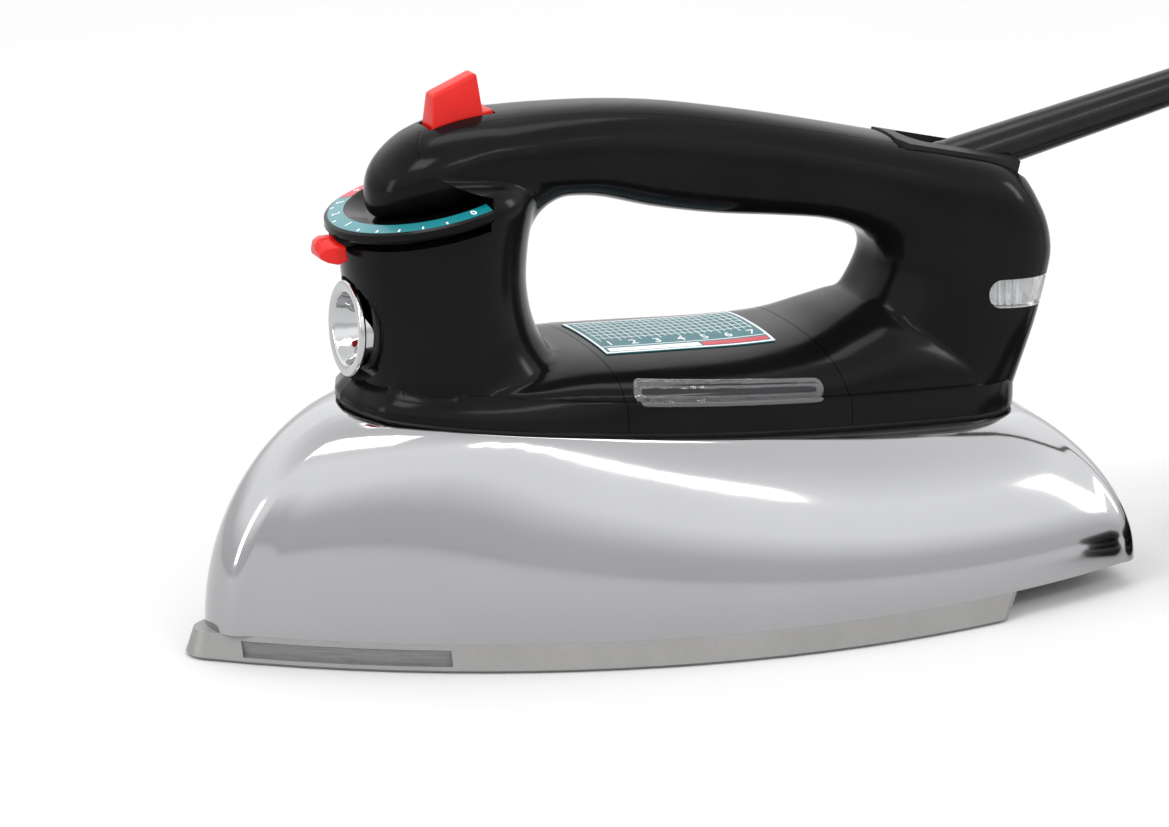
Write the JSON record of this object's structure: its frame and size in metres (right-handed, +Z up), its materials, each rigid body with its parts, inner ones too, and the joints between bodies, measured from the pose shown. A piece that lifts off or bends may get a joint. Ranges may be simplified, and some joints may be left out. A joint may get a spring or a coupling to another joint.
{
  "type": "steam iron",
  "caption": "Classic steam iron with a chrome shell, black loop handle, temperature dial and lever, red steam button, water inlet funnel and a coiled cord on a swivel sleeve.",
  "frame": {"origin": "centre of the iron's footprint box, on the soleplate's face", "axes": "+X from the nose to the heel, +Y to the iron's right side, +Z up from the soleplate's face"},
  "size_m": [0.3792, 0.1549, 0.1434],
  "materials": {
    "sole_metal": "cast, fine matt face",
    "element_steel": "heat-tinted sheath",
    "silicone_red": "matt",
    "sheet_aluminium": "rolled",
    "plain_steel": "plain",
    "copper_alloy": "plain",
    "brass": "turned",
    "spring_steel": "drawn wire",
    "red_plastic": "glossy",
    "inner_plastic": "moulded",
    "bezel_black": "glossy",
    "teal_scale": "printed teal",
    "chrome_shell": "mirror",
    "seal_black": "matt",
    "tank_plastic": "translucent white",
    "black_plastic": "satin black",
    "label_print": "printed teal",
    "clear_window": "clear",
    "funnel_chrome": "mirror",
    "lamp_amber": "amber",
    "sleeve_rubber": "glossy",
    "white_nylon": "moulded",
    "lead_insulation": "matt",
    "earth_insulation": "matt",
    "cord_jacket": "matt",
    "tie_strap": "woven",
    "plug_plastic": "moulded"
  },
  "bodies": {
    "iron": {"soleplate": "sole_metal", "heating_element": "element_steel", "chamber_seal": "silicone_red", "steam_chamber_cover": "sheet_aluminium", "thermostat_bracket": "plain_steel", "cord_pivot": "plain_steel", "cover_screws": "plain_steel", "thermal_fuse": "plain_steel", "bimetal_blade": "copper_alloy", "contact_blades": "copper_alloy", "drip_valve": "brass", "plug_pins": "brass", "valve_spring": "spring_steel", "dial_carrier": "inner_plastic", "dial_bezel": "bezel_black", "dial_scale": "teal_scale", "skirt": "chrome_shell", "heel_plate": "chrome_shell", "foot_gasket": "seal_black", "filler_gasket": "seal_black", "water_tank": "tank_plastic", "filler_tube": "tank_plastic", "handle_body": "black_plastic", "handle_cover": "black_plastic", "saddle_cover": "black_plastic", "cord_plate": "black_plastic", "fabric_label": "label_print", "water_window_left": "clear_window", "water_window_right": "clear_window", "pilot_lens": "clear_window", "filler_funnel": "funnel_chrome", "pilot_lamp": "lamp_amber", "cord_clamp": "white_nylon", "terminal_block": "white_nylon", "supply_leads": "lead_insulation", "ground_strap": "earth_insulation", "cord": "cord_jacket", "cord_coil": "cord_jacket", "plug_lead": "cord_jacket", "coil_tie": "tie_strap", "plug_body": "plug_plastic"},
    "steam_button": {"steam_button": "red_plastic", "steam_rod": "plain_steel"},
    "temperature_control": {"temperature_lever": "red_plastic", "lever_disc": "red_plastic", "dial_spindle": "brass", "thermostat_cam": "brass"},
    "cord_sleeve": {"cord_sleeve": "sleeve_rubber"}
  },
  "joints": [
    {"name": "steam_button_press", "type": "slide", "parent": "iron", "child": "steam_button", "axis": [0.1857, 0, -0.9826], "range_m": [0, 0.005], "stiffness_N_per_m": 300, "springref_m": -0.003, "deforming": ["valve_spring"]},
    {"name": "temperature_lever_turn", "type": "hinge", "parent": "iron", "child": "temperature_control", "pos_m": [-0.0592, 0, 0.1132], "axis": [-0.1857, 0, 0.9826], "range_deg": [-82, 84]},
    {"name": "cord_sleeve_swing", "type": "hinge", "parent": "iron", "child": "cord_sleeve", "pos_m": [0.084, 0, 0.10778], "axis": [0, -1, 0], "range_deg": [0, 60]}
  ]
}
